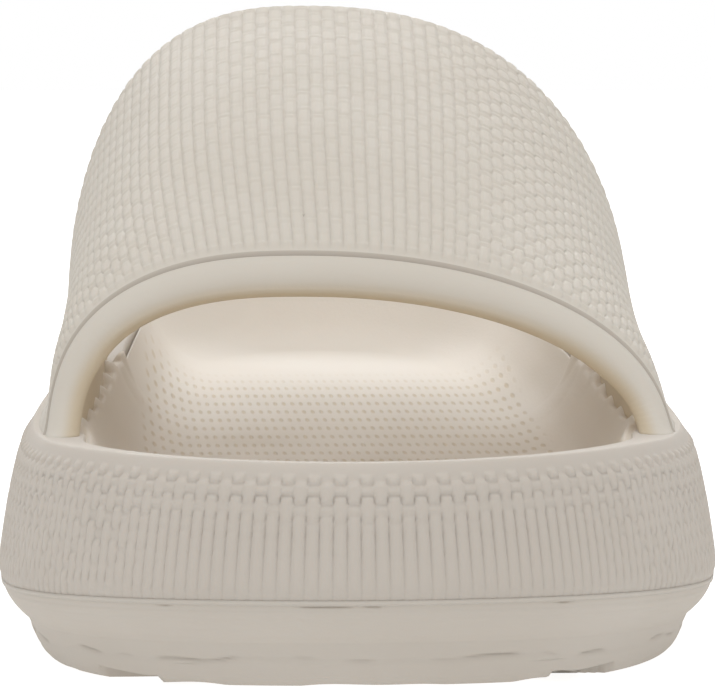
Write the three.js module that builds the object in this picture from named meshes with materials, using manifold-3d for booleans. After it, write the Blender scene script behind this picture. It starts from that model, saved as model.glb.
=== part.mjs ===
// Sport slide sandal for the left foot: a chunky foam slide with one broad strap.
// Millimetres, +Z up. The toe points to -Y, the heel to +Y and the big toe side to -X.
// The sandal stands empty on its sole, with the ground at z = 0.

import * as THREE from 'three';
import { mergeVertices } from 'three/addons/utils/BufferGeometryUtils.js';
import Module from 'manifold-3d';

const wasm = await Module();
wasm.setup();

// Overall sizes of the sole
const soleLength = 286;
const ballWidth = 114;
const seamHeight = 16.3;
const rimHeight = 35.3;
const bedHeight = 25;
const toeSpring = 4.4;
const heelSpring = 3;
const archLift = 3.2;

// Rounding of the two ends of the outline
const toeRound = 80;
const heelRound = 48;

// Side of the sole
const shoulderInset = 5;
const rimWidth = 12;
const rimEase = 0.9;
const sideLean = 0.45;
const tuckInset = 6.2;
const stepShare = 0.5;

// Strap
const strapHeight = 102.6;
const strapFront = 60;
const strapReach = 97;
const strapRake = 12;
const strapWall = 6;
const footWall = 4.8;
const wallInset = 9;
const strapBelly = 2.4;
const footStep = 1;
const flareHeight = 13;
const lipWidth = 3.4;
const lipStep = 0.5;
const hemWidth = 1.6;

// Footbed
const bedThickness = 4;
const ribCount = 7;
const ribPitch = 14;
const ribStart = 74;
const ribReach = 2.4;
const ribWidth = 3.2;
const ribRise = 3.4;

// Tread
const treadDepth = 4.2;
const channelWidth = 4.4;
const channelFlare = 1.4;

// Room between pieces that touch on the real sandal
const clearance = 0.3;

// How finely the curved pieces are faceted
const outlineSteps = 76;
const archSteps = 34;
const strapRows = 12;

// Sections of the sole from the toe (0) to the heel (1). middle and half are shares of the ball width,
// seam, rim and bed are shares of those heights, shoulder and edge are shares of the two rim insets, and cup
// is how far the footbed's edge climbs from the bed to the rim.
const soleSections = [
  { at: 0.00, middle: -0.031, half: 0.494, seam: 1.00, rim: 1.000, bed: 1.00, shoulder: 1.00, edge: 0.68, cup: 0.30 },
  { at: 0.12, middle: -0.020, half: 0.496, seam: 0.79, rim: 0.980, bed: 0.96, shoulder: 1.00, edge: 0.76, cup: 0.35 },
  { at: 0.22, middle: -0.006, half: 0.499, seam: 0.66, rim: 0.955, bed: 0.94, shoulder: 1.15, edge: 1.08, cup: 0.60 },
  { at: 0.34, middle: 0.002, half: 0.500, seam: 0.64, rim: 0.970, bed: 0.94, shoulder: 0.95, edge: 1.20, cup: 0.84 },
  { at: 0.46, middle: 0.012, half: 0.483, seam: 0.65, rim: 1.020, bed: 0.98, shoulder: 0.70, edge: 1.10, cup: 0.88 },
  { at: 0.59, middle: 0.020, half: 0.450, seam: 0.70, rim: 1.100, bed: 1.07, shoulder: 0.50, edge: 0.84, cup: 0.88 },
  { at: 0.74, middle: 0.014, half: 0.408, seam: 0.78, rim: 1.220, bed: 1.18, shoulder: 0.80, edge: 0.72, cup: 0.90 },
  { at: 0.88, middle: 0.006, half: 0.392, seam: 0.84, rim: 1.290, bed: 1.24, shoulder: 1.00, edge: 0.70, cup: 0.90 },
  { at: 1.00, middle: 0.000, half: 0.392, seam: 0.90, rim: 1.310, bed: 1.26, shoulder: 1.00, edge: 0.68, cup: 0.90 },
];

// Sections of the strap from its front edge (0) to its rear edge (1). crown is a share of the strap height,
// lean is the crown's sideways place as a share of the ball width, full is the power of the arch's curve
// and inner what its big toe side has more, wall is a share of the wall's inset from the outline, and belly
// a share of the strap's bulge.
const strapSections = [
  { at: 0.00, crown: 0.578, lean: -0.088, full: 2.10, inner: 0.37, wall: 0.78, belly: 0.0 },
  { at: 0.30, crown: 0.733, lean: -0.075, full: 2.20, inner: 0.28, wall: 1.00, belly: 0.2 },
  { at: 0.60, crown: 0.862, lean: -0.062, full: 2.28, inner: 0.20, wall: 0.92, belly: 0.6 },
  { at: 1.00, crown: 1.000, lean: -0.052, full: 2.40, inner: 0.15, wall: 0.46, belly: 1.0 },
];

// Side of the outsole from the seam (0) down to its soft corner (1), as shares of the tuck.
const tuckSections = [
  { drop: 0.00, inset: 0.03 },
  { drop: 0.30, inset: 0.10 },
  { drop: 0.58, inset: 0.24 },
  { drop: 0.82, inset: 0.43 },
  { drop: 1.00, inset: 0.62 },
];

// Channels that part the tread into lugs, each from one point to another: along is a share of the
// length from the toe, across a share of half the ball width, wide a share of the channel width and deep
// a share of the tread depth. The two wide ones lower the toe lug below the corners beside it.
const treadChannels = [
  { along: 0.11, across: -0.48, alongEnd: 0.50, acrossEnd: -0.56, wide: 1.0, deep: 1.5 },
  { along: 0.11, across: 0.47, alongEnd: 0.50, acrossEnd: 0.58, wide: 1.0, deep: 1.5 },
  { along: 0.060, across: -1.10, alongEnd: 0.060, acrossEnd: -0.50, wide: 6.0, deep: 0.7 },
  { along: 0.060, across: 0.48, alongEnd: 0.060, acrossEnd: 1.10, wide: 6.0, deep: 0.7 },
  { along: 0.220, across: -1.10, alongEnd: 0.240, acrossEnd: 1.10, wide: 1.0, deep: 1.0 },
  { along: 0.315, across: -1.10, alongEnd: 0.335, acrossEnd: 1.10, wide: 1.0, deep: 1.0 },
  { along: 0.415, across: -1.10, alongEnd: 0.430, acrossEnd: 1.10, wide: 1.0, deep: 1.0 },
  { along: 0.705, across: -1.10, alongEnd: 0.690, acrossEnd: 1.10, wide: 1.0, deep: 1.0 },
  { along: 0.800, across: -1.10, alongEnd: 0.780, acrossEnd: 1.10, wide: 1.0, deep: 1.0 },
  { along: 0.895, across: -1.10, alongEnd: 0.880, acrossEnd: 1.10, wide: 1.0, deep: 1.0 },
];

const toeEnd = -soleLength / 2;

const foam = (color, roughness) => new THREE.MeshStandardMaterial({ color, roughness, metalness: 0 });

// A value read from a table by a smooth curve through its rows.
function readTable(table, column, at) {
  const last = table.length - 1;
  const place = THREE.MathUtils.clamp(at, table[0].at, table[last].at);
  let row = 0;
  while (row < last - 1 && place > table[row + 1].at) row += 1;
  const slopeAt = (index) => {
    const before = table[Math.max(index - 1, 0)];
    const after = table[Math.min(index + 1, last)];
    return (after[column] - before[column]) / (after.at - before.at);
  };
  const span = table[row + 1].at - table[row].at;
  const t = (place - table[row].at) / span;
  const rise = t * t * (3 - 2 * t);
  const leave = t * (1 - t) * (1 - t) * span * slopeAt(row);
  const arrive = t * t * (1 - t) * span * slopeAt(row + 1);
  return table[row][column] * (1 - rise) + table[row + 1][column] * rise + leave - arrive;
}

// Share of the length from the toe for a place along Y.
const shareAt = (y) => THREE.MathUtils.clamp((y - toeEnd) / soleLength, 0, 1);

const seamAt = (share) => seamHeight * readTable(soleSections, 'seam', share);
const rimAt = (share) => rimHeight * readTable(soleSections, 'rim', share);
const bedAt = (share) => bedHeight * readTable(soleSections, 'bed', share);
const shoulderAt = (share) => shoulderInset * readTable(soleSections, 'shoulder', share);
const edgeAt = (share) => rimWidth * readTable(soleSections, 'edge', share);
const cupAt = (share) => (rimAt(share) - bedAt(share)) * readTable(soleSections, 'cup', share);

// Underside of the tread: flat under the ball and the heel, raised at the toe, the arch and the heel's end.
function groundAt(share) {
  const toe = Math.max(0, 1 - share / 0.2);
  const heel = Math.max(0, (share - 0.92) / 0.08);
  const arch = Math.max(0, 1 - ((share - 0.575) / 0.085) ** 2);
  return toeSpring * toe ** 2 + heelSpring * heel ** 2 + archLift * arch ** 2;
}

// Half of the outline's width, drawn in to nothing at both ends.
function halfWidthAt(share) {
  const distance = share * soleLength;
  const toe = Math.min(1, distance / toeRound);
  const heel = Math.min(1, (soleLength - distance) / heelRound);
  const ends = Math.sqrt(1 - (1 - toe) ** 2) * Math.sqrt(1 - (1 - heel) ** 2);
  return ballWidth * readTable(soleSections, 'half', share) * ends;
}

const middleAt = (share) => ballWidth * readTable(soleSections, 'middle', share);

// Point of the outline at an angle round the sole: 0 is the toe, a half turn the heel, little toe side first.
function outlinePoint(angle) {
  const share = (1 - Math.cos(angle)) / 2;
  const side = Math.sign(Math.sin(angle));
  return new THREE.Vector2(middleAt(share) + side * halfWidthAt(share), toeEnd + share * soleLength);
}

// Outline drawn in by an inset, which may be a length or a function of the share of the length.
function outlineRing(inset, height, shrink = 1) {
  const step = (2 * Math.PI) / outlineSteps;
  const ring = [];
  for (let index = 0; index < outlineSteps; index += 1) {
    const angle = (index + 0.5) * step;
    const point = outlinePoint(angle);
    const ahead = outlinePoint(angle + step / 4);
    const behind = outlinePoint(angle - step / 4);
    const run = ahead.sub(behind).normalize();
    const depth = typeof inset === 'function' ? inset(shareAt(point.y)) : inset;
    point.add(new THREE.Vector2(-run.y, run.x).multiplyScalar(depth));
    point.x = THREE.MathUtils.lerp(middleAt(shareAt(point.y)), point.x, shrink);
    point.y *= THREE.MathUtils.lerp(0.72, 1, shrink);
    ring.push(new THREE.Vector3(point.x, point.y, height(shareAt(point.y))));
  }
  return ring;
}

// Closed body through rings of equal count. Each end is closed by a strip from one side to the other.
function loft(rings) {
  const count = rings[0].length;
  const positions = rings.flat().flatMap((point) => [point.x, point.y, point.z]);
  const faces = [];
  for (let row = 0; row + 1 < rings.length; row += 1) {
    for (let index = 0; index < count; index += 1) {
      const next = (index + 1) % count;
      const low = row * count;
      const high = low + count;
      faces.push(low + index, low + next, high + next, low + index, high + next, high + index);
    }
  }
  const top = (rings.length - 1) * count;
  for (let index = 0; index < count / 2 - 1; index += 1) {
    const facing = count - 1 - index;
    faces.push(index, facing, index + 1, facing, facing - 1, index + 1);
    faces.push(top + index, top + index + 1, top + facing, top + facing, top + index + 1, top + facing - 1);
  }
  const geometry = new THREE.BufferGeometry();
  geometry.setAttribute('position', new THREE.Float32BufferAttribute(positions, 3));
  geometry.setIndex(faces);
  return geometry;
}

function toSolid(geometry) {
  const bare = geometry.clone();
  bare.deleteAttribute('normal');
  bare.deleteAttribute('uv');
  const merged = mergeVertices(bare, 1e-3);
  return new wasm.Manifold(new wasm.Mesh({
    numProp: 3,
    vertProperties: new Float32Array(merged.attributes.position.array),
    triVerts: new Uint32Array(merged.index.array),
  }));
}

function toGeometry(solid) {
  const mesh = solid.getMesh();
  const geometry = new THREE.BufferGeometry();
  geometry.setAttribute('position', new THREE.Float32BufferAttribute(mesh.vertProperties, 3));
  geometry.setIndex([...mesh.triVerts]);
  return geometry;
}

// Inset of the midsole's side at a rise between the seam (0) and the crest of the rim (1).
const sideInset = (rise) => sideLean * rise + (1 - sideLean) * (1 - Math.sqrt(1 - rise * rise));

// Midsole: the thick rounded body above the seam, with a rim round a dish for the footbed.
function makeMidsole() {
  const floorAt = (share) => bedAt(share) - bedThickness - clearance;
  const seamRing = (shrink) => outlineRing((share) => 0.06 * shoulderAt(share), seamAt, shrink);
  const rings = [seamRing(0.3), seamRing(0.7), seamRing(1)];
  for (const rise of [0.12, 0.3, 0.5, 0.68, 0.82, 0.92, 0.98, 1]) {
    const height = (share) => THREE.MathUtils.lerp(seamAt(share), rimAt(share), rise);
    rings.push(outlineRing((share) => shoulderAt(share) * sideInset(rise), height));
  }
  rings.push(outlineRing((share) => edgeAt(share) - rimEase, rimAt));
  rings.push(outlineRing(edgeAt, (share) => rimAt(share) - rimEase));
  for (const shrink of [1, 0.7, 0.3]) rings.push(outlineRing(edgeAt, floorAt, shrink));
  return loft(rings);
}

// One channel of the tread: a long block, wider at the ground than at its bottom.
function makeChannel({ along, across, alongEnd, acrossEnd, wide, deep }) {
  const start = new THREE.Vector2(across * ballWidth / 2, toeEnd + along * soleLength);
  const end = new THREE.Vector2(acrossEnd * ballWidth / 2, toeEnd + alongEnd * soleLength);
  const half = (channelWidth * wide) / 2;
  const mouth = half + channelFlare;
  const depth = treadDepth * deep;
  const section = new THREE.Shape();
  section.moveTo(-half, depth);
  section.lineTo(-mouth, -treadDepth);
  section.lineTo(mouth, -treadDepth);
  section.lineTo(half, depth);
  const length = start.distanceTo(end);
  const block = new THREE.ExtrudeGeometry(section, { depth: length, bevelEnabled: false });
  block.rotateX(Math.PI / 2);
  block.rotateZ(end.clone().sub(start).angle() + Math.PI / 2);
  block.translate(start.x, start.y, 0);
  return toSolid(block);
}

// Outsole: tucks in below the seam to a soft corner, then slants down to the lugs on the ground.
function makeOutsole() {
  const lidAt = (share) => seamAt(share) - clearance;
  const stepAt = (share) => THREE.MathUtils.lerp(groundAt(share), lidAt(share), stepShare);
  const groundRing = (shrink) => outlineRing(tuckInset, groundAt, shrink);
  const rings = [groundRing(0.3), groundRing(0.7), groundRing(1)];
  for (const { drop, inset } of [...tuckSections].reverse()) {
    const height = (share) => THREE.MathUtils.lerp(lidAt(share), stepAt(share), drop);
    rings.push(outlineRing(tuckInset * inset, height));
  }
  const lidRing = (shrink) => outlineRing(tuckInset * tuckSections[0].inset, lidAt, shrink);
  rings.push(lidRing(0.7), lidRing(0.3));
  let body = toSolid(loft(rings));
  for (const channel of treadChannels) body = body.subtract(makeChannel(channel));
  return toGeometry(body);
}

// Footbed: a soft slab in the dish, cupped at its edge, with short grip ribs beside the foot under the strap.
function makeFootbed() {
  const inset = (extra) => (share) => edgeAt(share) + clearance + extra;
  const top = (lift) => (share) => bedAt(share) + cupAt(share) * lift;
  const base = (lift) => (share) => bedAt(share) - bedThickness + lift;
  const rings = [
    outlineRing(inset(1), base(0), 0.3),
    outlineRing(inset(1), base(0), 0.7),
    outlineRing(inset(1), base(0)),
    outlineRing(inset(0), base(1)),
    outlineRing(inset(0), top(0.9)),
    outlineRing(inset(0.6), top(1)),
    outlineRing(inset(2.4), top(0.58)),
    outlineRing(inset(5.5), top(0.25)),
    outlineRing(inset(10), top(0.06)),
    outlineRing(inset(14), top(0), 0.7),
    outlineRing(inset(14), top(0), 0.3),
  ];
  let body = toSolid(loft(rings));
  for (const side of [-1, 1]) {
    for (let index = 0; index < ribCount; index += 1) {
      const share = (ribStart + index * ribPitch) / soleLength;
      const reach = halfWidthAt(share) - edgeAt(share) - 2 * clearance - ribReach;
      const rib = new THREE.SphereGeometry(1, 12, 7);
      rib.scale(ribReach, ribWidth, ribRise);
      const height = bedAt(share) + cupAt(share) * 0.55;
      rib.translate(middleAt(share) + side * reach, toeEnd + share * soleLength, height);
      body = body.add(toSolid(rib));
    }
  }
  return toGeometry(body);
}

// Point of the strap's outer face. turn runs from the big toe side's foot (0) over the crown to the
// little toe side's foot (1), and along from the front edge (0) to the rear edge (1).
function strapPoint(turn, along) {
  const read = (column) => readTable(strapSections, column, along);
  const footY = toeEnd + strapFront + along * strapReach;
  const share = shareAt(footY);
  const side = turn < 0.5 ? -1 : 1;
  const angle = Math.PI * turn;
  const power = 2 / (read('full') + (side < 0 ? read('inner') : 0));
  const out = Math.abs(Math.cos(angle)) ** power;
  const up = Math.sin(angle) ** power;
  const crownX = ballWidth * read('lean');
  const wallX = middleAt(share) + side * (halfWidthAt(share) - wallInset * read('wall'));
  const belly = strapBelly * read('belly') * (1 - Math.max(0, 1 - up / 0.4) ** 2);
  const x = crownX + out * (wallX + side * belly - crownX);
  const footZ = rimAt(share) + clearance;
  const lift = up * (strapHeight * read('crown') - footZ);
  const flare = Math.max(0, wallInset * read('wall') - shoulderAt(share) - footStep);
  const spread = flare * Math.max(0, 1 - lift / flareHeight) ** 2;
  return {
    up,
    spread: side * spread,
    point: new THREE.Vector3(x, footY + strapRake * up, footZ + lift),
  };
}

// Ring of the strap's wall at one place along it: outer face, then inner face back. The wall is drawn in
// by sunk from outside and by raised from inside, and its foot spreads on the outside.
function strapRing(along, sunk, raised) {
  const outer = [];
  const inner = [];
  for (let index = 0; index < archSteps; index += 1) {
    const turn = index / (archSteps - 1);
    const { point, up, spread } = strapPoint(turn, along);
    const ahead = strapPoint(Math.min(turn + 0.004, 1), along).point;
    const behind = strapPoint(Math.max(turn - 0.004, 0), along).point;
    const onFoot = index === 0 || index === archSteps - 1;
    const run = onFoot ? new THREE.Vector2(0, index === 0 ? 1 : -1)
      : new THREE.Vector2(ahead.x - behind.x, ahead.z - behind.z).normalize();
    const inward = new THREE.Vector3(run.y, 0, -run.x);
    const wall = THREE.MathUtils.lerp(footWall, strapWall, Math.min(1, 2 * up));
    outer.push(point.clone().addScaledVector(inward, sunk).add(new THREE.Vector3(spread, 0, 0)));
    inner.unshift(point.clone().addScaledVector(inward, wall - raised));
  }
  return [...outer, ...inner];
}

// Strap: one hollow arch, open at the toe and behind, with a rounded lip in front of a shallow step.
function makeStrap() {
  const round = (distance, radius) => radius - Math.sqrt(Math.max(0, radius ** 2 - (radius - distance) ** 2));
  const innerRound = footWall - lipWidth - lipStep - 0.2;
  const rings = [];
  for (const distance of [0, 0.25, 0.9, 1.8, lipWidth]) {
    const fromInside = round(Math.min(distance, innerRound), innerRound);
    rings.push(strapRing(distance / strapReach, lipStep + round(distance, lipWidth), fromInside));
  }
  rings.push(strapRing((lipWidth + lipStep) / strapReach, 0, 0));
  for (let row = 1; row < strapRows; row += 1) {
    const stretch = strapReach - lipWidth - lipStep - hemWidth;
    rings.push(strapRing((lipWidth + lipStep + (stretch * row) / strapRows) / strapReach, 0, 0));
  }
  for (const distance of [hemWidth, 0.7, 0.2, 0]) {
    const drawn = round(distance, hemWidth);
    rings.push(strapRing(1 - distance / strapReach, drawn, drawn));
  }
  return loft(rings);
}

function addPiece(name, geometry, material) {
  const mesh = new THREE.Mesh(geometry, material);
  mesh.name = name;
  group.add(mesh);
}

const group = new THREE.Group();
addPiece('strap', makeStrap(), foam(0xd6ccc0, 0.62));
addPiece('midsole', makeMidsole(), foam(0xcfc5b8, 0.64));
addPiece('outsole', makeOutsole(), foam(0xcac0b4, 0.7));
addPiece('footbed', makeFootbed(), foam(0xdad0c3, 0.6));

// The origin is under the middle of the sandal's box.
const box = new THREE.Box3().setFromObject(group);
const middle = box.getCenter(new THREE.Vector3());
group.position.set(-middle.x, -middle.y, -box.min.z);

export default group;
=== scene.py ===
# Sport slide sandal, left foot: a pale moulded foam slide seen from the front, toe towards the camera.
import math

import bmesh
import bpy
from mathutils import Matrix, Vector


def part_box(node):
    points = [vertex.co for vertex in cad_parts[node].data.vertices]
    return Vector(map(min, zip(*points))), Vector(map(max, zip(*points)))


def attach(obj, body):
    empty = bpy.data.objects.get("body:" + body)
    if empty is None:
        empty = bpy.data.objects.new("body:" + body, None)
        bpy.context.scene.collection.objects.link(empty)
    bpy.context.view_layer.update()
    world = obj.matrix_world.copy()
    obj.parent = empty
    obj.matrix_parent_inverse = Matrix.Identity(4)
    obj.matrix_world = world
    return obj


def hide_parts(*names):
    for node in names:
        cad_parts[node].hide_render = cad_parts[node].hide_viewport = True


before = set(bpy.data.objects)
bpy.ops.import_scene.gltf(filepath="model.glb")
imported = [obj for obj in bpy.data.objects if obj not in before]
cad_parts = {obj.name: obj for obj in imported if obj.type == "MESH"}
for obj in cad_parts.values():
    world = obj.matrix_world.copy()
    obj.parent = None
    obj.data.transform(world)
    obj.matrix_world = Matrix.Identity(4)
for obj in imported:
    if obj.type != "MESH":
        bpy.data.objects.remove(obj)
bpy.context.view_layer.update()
mm = 0.001


def deselectAll():
    if bpy.context.object and bpy.context.object.mode != "OBJECT":
        bpy.ops.object.mode_set(mode="OBJECT")
    bpy.ops.object.select_all(action="DESELECT")


# Sizes of the sandal in millimetres, the same driving sizes as the solids have
sandal = {
    "length": 286.0, "ballWidth": 114.0, "seam": 16.3, "rim": 35.3, "bed": 25.0,
    "toeSpring": 4.4, "heelSpring": 3.0, "archLift": 3.2, "toeRound": 80.0, "heelRound": 48.0,
    "shoulder": 5.0, "rimWidth": 12.0, "sideLean": 0.45, "clearance": 0.3,
    "toeSpringEnd": 0.2, "heelSpringStart": 0.92, "archMiddle": 0.575, "archReach": 0.085, "spineShare": 0.72,
}
toeEnd = -sandal["length"] / 2

# Sections of the sole from the toe (0) to the heel (1): shares of the sizes above
soleSections = [
    dict(at=0.00, middle=-0.031, half=0.494, seam=1.00, rim=1.000, bed=1.00,
         shoulder=1.00, edge=0.68, cup=0.30),
    dict(at=0.12, middle=-0.020, half=0.496, seam=0.79, rim=0.980, bed=0.96,
         shoulder=1.00, edge=0.76, cup=0.35),
    dict(at=0.22, middle=-0.006, half=0.499, seam=0.66, rim=0.955, bed=0.94,
         shoulder=1.15, edge=1.08, cup=0.60),
    dict(at=0.34, middle=0.002, half=0.500, seam=0.64, rim=0.970, bed=0.94,
         shoulder=0.95, edge=1.20, cup=0.84),
    dict(at=0.46, middle=0.012, half=0.483, seam=0.65, rim=1.020, bed=0.98,
         shoulder=0.70, edge=1.10, cup=0.88),
    dict(at=0.59, middle=0.020, half=0.450, seam=0.70, rim=1.100, bed=1.07,
         shoulder=0.50, edge=0.84, cup=0.88),
    dict(at=0.74, middle=0.014, half=0.408, seam=0.78, rim=1.220, bed=1.18,
         shoulder=0.80, edge=0.72, cup=0.90),
    dict(at=0.88, middle=0.006, half=0.392, seam=0.84, rim=1.290, bed=1.24,
         shoulder=1.00, edge=0.70, cup=0.90),
    dict(at=1.00, middle=0.000, half=0.392, seam=0.90, rim=1.310, bed=1.26,
         shoulder=1.00, edge=0.68, cup=0.90),
]


def clamp(value, low=0.0, high=1.0):
    return max(low, min(high, value))


def mix(a, b, t):
    return a + (b - a) * t


def smooth(value):
    t = clamp(value)
    return t * t * (3 - 2 * t)


def readTable(table, column, at):
    # A smooth curve through the rows of a table
    last = len(table) - 1
    place = clamp(at, table[0]["at"], table[last]["at"])
    row = 0
    while row < last - 1 and place > table[row + 1]["at"]:
        row += 1

    def slope(index):
        before, after = table[max(index - 1, 0)], table[min(index + 1, last)]
        return (after[column] - before[column]) / (after["at"] - before["at"])

    span = table[row + 1]["at"] - table[row]["at"]
    t = (place - table[row]["at"]) / span
    rise = t * t * (3 - 2 * t)
    bend = t * (1 - t) ** 2 * span * slope(row) - t * t * (1 - t) * span * slope(row + 1)
    return table[row][column] * (1 - rise) + table[row + 1][column] * rise + bend


# The tables are read many times, so each column is first laid out finely
fineSteps = 800
fineColumns = {
    name: [readTable(soleSections, name, step / fineSteps) for step in range(fineSteps + 1)]
    for name in soleSections[0] if name != "at"
}


def soleColumn(name, share):
    place = clamp(share) * fineSteps
    low = min(int(place), fineSteps - 1)
    return mix(fineColumns[name][low], fineColumns[name][low + 1], place - low)


def shareAt(y):
    return clamp((y - toeEnd) / sandal["length"])


def seamAt(share):
    return sandal["seam"] * soleColumn("seam", share)


def rimAt(share):
    return sandal["rim"] * soleColumn("rim", share)


def bedAt(share):
    return sandal["bed"] * soleColumn("bed", share)


def shoulderAt(share):
    return sandal["shoulder"] * soleColumn("shoulder", share)


def edgeAt(share):
    return sandal["rimWidth"] * soleColumn("edge", share)


def cupAt(share):
    return (rimAt(share) - bedAt(share)) * soleColumn("cup", share)


def middleAt(share):
    return sandal["ballWidth"] * soleColumn("middle", share)


def groundAt(share):
    # How far the underside is off the ground: it rises at the toe, the heel and the arch
    toe = max(0, 1 - share / sandal["toeSpringEnd"])
    heel = max(0, (share - sandal["heelSpringStart"]) / (1 - sandal["heelSpringStart"]))
    arch = max(0, 1 - ((share - sandal["archMiddle"]) / sandal["archReach"]) ** 2)
    return sandal["toeSpring"] * toe ** 2 + sandal["heelSpring"] * heel ** 2 + sandal["archLift"] * arch ** 2


def halfWidthAt(share):
    distance = share * sandal["length"]
    toe = min(1, distance / sandal["toeRound"])
    heel = min(1, (sandal["length"] - distance) / sandal["heelRound"])
    ends = math.sqrt(1 - (1 - toe) ** 2) * math.sqrt(1 - (1 - heel) ** 2)
    return sandal["ballWidth"] * soleColumn("half", share) * ends


def outlinePoint(angle):
    share = (1 - math.cos(angle)) / 2
    side = 1 if math.sin(angle) >= 0 else -1
    return Vector((middleAt(share) + side * halfWidthAt(share), toeEnd + share * sandal["length"]))


def outlineStations(ribs, samples):
    # Points spaced along the outline from the toe tip round, at the samples of each rib, each with its
    # inward direction
    fine = 4000
    points = [outlinePoint(2 * math.pi * step / fine) for step in range(fine + 1)]
    lengths = [0.0]
    for before, after in zip(points, points[1:]):
        lengths.append(lengths[-1] + (after - before).length)
    stations = []
    place = 0
    for index in range(ribs * len(samples)):
        target = lengths[-1] * (index // len(samples) + samples[index % len(samples)]) / ribs
        while lengths[place + 1] < target:
            place += 1
        span = max(lengths[place + 1] - lengths[place], 1e-9)
        t = (target - lengths[place]) / span
        angle = 2 * math.pi * (place + t) / fine
        run = (outlinePoint(angle + 0.01) - outlinePoint(angle - 0.01)).normalized()
        stations.append((outlinePoint(angle), Vector((-run.y, run.x))))
    return stations


def ringPlaces(stations, inset, spread=1.0):
    # Places of a ring drawn in by an inset, and then drawn towards a spine where its two sides meet
    drawn = []
    for point, inward in stations:
        depth = inset(shareAt(point.y)) if callable(inset) else inset
        drawn.append(point + inward * depth)
    if spread == 1.0:
        return drawn
    count = len(drawn)
    places = []
    for index, place in enumerate(drawn):
        spine = (place + drawn[-index % count]) / 2
        spine.y *= sandal["spineShare"]
        places.append(spine.lerp(place, spread))
    return places


def planeGrid(name, across, along):
    # A plane grid to be bent to shape: across goes round the piece, along goes over its section
    deselectAll()
    bpy.ops.mesh.primitive_grid_add(x_subdivisions=across, y_subdivisions=along, size=1)
    piece = bpy.context.object
    piece.name = name
    piece.data.name = name
    return piece


def bendGrid(piece, places, **masks):
    # Puts the grid's vertices at the rows of places, in millimetres, and keeps each mask as an attribute
    mesh = piece.data
    coords = [value * mm for row in places for place in row for value in place]
    mesh.vertices.foreach_set("co", coords)
    for name, rows in masks.items():
        kept = mesh.attributes.new(name, "FLOAT", "POINT")
        kept.data.foreach_set("value", [value for row in rows for value in row])
    mesh.update()


def closeSeams(piece, fillEnds=False, distance=0.00001):
    deselectAll()
    bpy.context.view_layer.objects.active = piece
    piece.select_set(True)
    bpy.ops.object.mode_set(mode="EDIT")
    bpy.ops.mesh.select_all(action="SELECT")
    bpy.ops.mesh.remove_doubles(threshold=distance)
    bpy.ops.mesh.dissolve_degenerate(threshold=distance / 10)
    bpy.ops.mesh.select_all(action="SELECT")
    if fillEnds:
        bpy.ops.mesh.fill_holes(sides=0)
        bpy.ops.mesh.select_all(action="SELECT")
    bpy.ops.mesh.normals_make_consistent(inside=False)
    bpy.ops.mesh.select_all(action="DESELECT")
    bpy.ops.mesh.select_mode(type="EDGE")
    bpy.ops.mesh.select_non_manifold(extend=False)
    openEdges = len([edge for edge in bmesh.from_edit_mesh(piece.data).edges if edge.select])
    bpy.ops.mesh.select_mode(type="VERT")
    bpy.ops.object.mode_set(mode="OBJECT")
    bpy.ops.object.shade_smooth()
    print("  ", piece.name, "has", openEdges, "open edges")


def raiseRelief(piece):
    # Moves each vertex along its normal by its own relief
    mesh = piece.data
    count = len(mesh.vertices)
    coords, normals, reliefs = [0.0] * (3 * count), [0.0] * (3 * count), [0.0] * count
    mesh.vertices.foreach_get("co", coords)
    mesh.vertices.foreach_get("normal", normals)
    mesh.attributes["relief"].data.foreach_get("value", reliefs)
    raised = [coord + normal * reliefs[index // 3] * mm
              for index, (coord, normal) in enumerate(zip(coords, normals))]
    mesh.vertices.foreach_set("co", raised)
    mesh.update()


# The knitted relief moulded into the foam, in millimetres: flat ribs with narrow grooves between them.
# Each rib is crossed by pairs of small notches, and the grooves beside a pair are bridged.
knit = {
    "rise": 0.48, "groove": 0.12, "notchDepth": 0.40, "notchWidth": 0.45, "pairGap": 1.5,
    "bridge": 1.9, "bridgeEdge": 0.5, "bridgeShare": 0.75, "crown": 0.10,
}


def knitRelief(column, length, period, rise=1.0, weave=1.0, groove=1.0):
    # Height of the knit at a column count across and a length along it: weave is how strong the notches
    # and bridges are, groove how deep the grooves between the ribs are
    inColumn = column - math.floor(column)
    fromGroove = min(inColumn, 1 - inColumn)
    rib = smooth(fromGroove / knit["groove"])
    alongs = []
    for count in (math.floor(column), math.floor(column) - 1):
        shift = 0.5 if int(count) % 2 else 0.0
        alongs.append((length / period + shift) % 1.0 * period - period / 2)
    notch = max(1 - abs(abs(alongs[0]) - knit["pairGap"] / 2) / knit["notchWidth"], 0)
    bridge = max(smooth((knit["bridge"] / 2 - abs(along)) / knit["bridgeEdge"] + 0.5) for along in alongs)
    ribHeight = knit["rise"] + knit["crown"] * smooth(fromGroove * 2) - knit["notchDepth"] * weave * notch
    grooveHeight = knit["rise"] * (1 - groove * (1 - knit["bridgeShare"] * weave * bridge))
    return rise * mix(grooveHeight, ribHeight, rib)


def boundsOf(node):
    low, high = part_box(node)
    return Vector(low) / mm, Vector(high) / mm


# The solids stand with the middle of their box over the origin, so the outline is moved as they are
soleLow, soleHigh = boundsOf("midsole")
outlineXs = [outlinePoint(math.radians(degrees)).x for degrees in range(360)]
shiftX = (soleLow.x + soleHigh.x - min(outlineXs) - max(outlineXs)) / 2
originShift = Vector((shiftX, (soleLow.y + soleHigh.y) / 2, 0))
print("frame loaded, shift in mm", [round(value, 2) for value in originShift])


# Camera: low in front of the toe and a little to its left, at the photograph's angle
view = {
    "eye": Vector((-28.5, -642.4, 89.3)), "yaw": 2.8, "pitch": 4.3, "lens": 182.62, "sensor": 36.0,
}


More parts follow.
